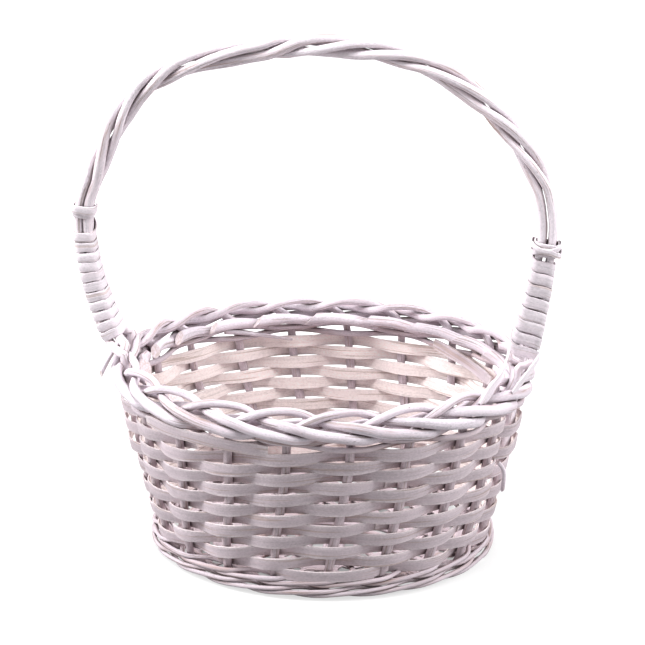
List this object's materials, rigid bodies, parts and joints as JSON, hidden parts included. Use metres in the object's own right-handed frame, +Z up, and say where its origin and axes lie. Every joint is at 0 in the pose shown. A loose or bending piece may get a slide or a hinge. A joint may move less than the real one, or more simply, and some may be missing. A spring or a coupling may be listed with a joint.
{
  "type": "gift basket",
  "caption": "Oval gift basket of flat willow strips woven over round stakes, with a rolled rod border, an oval base and a fixed twisted arch handle bound at both feet.",
  "frame": {"origin": "on the floor under the centre of the oval base", "axes": "+X to the right end, where one foot of the handle is; -Y to the front; +Z up"},
  "size_m": [0.2946, 0.2172, 0.3203],
  "materials": {
    "whitewash": "whitewashed peeled willow, matt",
    "whitewash_warm": "whitewashed split strip, thin wash over warm wood",
    "whitewash_bright": "whitewashed peeled willow rod, matt"
  },
  "bodies": {
    "root": {"long_stick_1": "whitewash", "long_stick_2": "whitewash", "long_stick_3": "whitewash", "long_stick_4": "whitewash", "short_stick_1": "whitewash", "short_stick_2": "whitewash", "short_stick_3": "whitewash", "short_stick_4": "whitewash", "short_stick_5": "whitewash", "short_stick_6": "whitewash", "base_weaver_1": "whitewash_warm", "base_weaver_2": "whitewash_warm", "stake_01": "whitewash_bright", "stake_02": "whitewash_bright", "stake_03": "whitewash_bright", "stake_04": "whitewash_bright", "stake_05": "whitewash_bright", "stake_06": "whitewash_bright", "stake_07": "whitewash_bright", "stake_08": "whitewash_bright", "stake_09": "whitewash_bright", "stake_10": "whitewash_bright", "stake_11": "whitewash_bright", "stake_12": "whitewash_bright", "stake_13": "whitewash_bright", "stake_14": "whitewash_bright", "stake_15": "whitewash_bright", "stake_16": "whitewash_bright", "stake_17": "whitewash_bright", "stake_18": "whitewash_bright", "stake_19": "whitewash_bright", "stake_20": "whitewash_bright", "base_hoop_1": "whitewash", "base_hoop_2": "whitewash", "wale_1": "whitewash", "wale_2": "whitewash", "row_01": "whitewash_warm", "row_02": "whitewash_warm", "row_03": "whitewash_warm", "row_04": "whitewash_warm", "row_05": "whitewash_warm", "row_06": "whitewash_warm", "row_07": "whitewash_warm", "row_08": "whitewash_warm", "row_09": "whitewash_warm", "row_10": "whitewash_warm", "row_11": "whitewash_warm", "row_12": "whitewash_warm", "twine_1": "whitewash", "twine_2": "whitewash", "handle_rod_1": "whitewash_bright", "handle_rod_2": "whitewash_bright", "handle_rod_3": "whitewash_bright", "handle_rod_4": "whitewash_bright", "handle_wrap_left": "whitewash_bright", "handle_wrap_right": "whitewash_bright"}
  },
  "joints": []
}
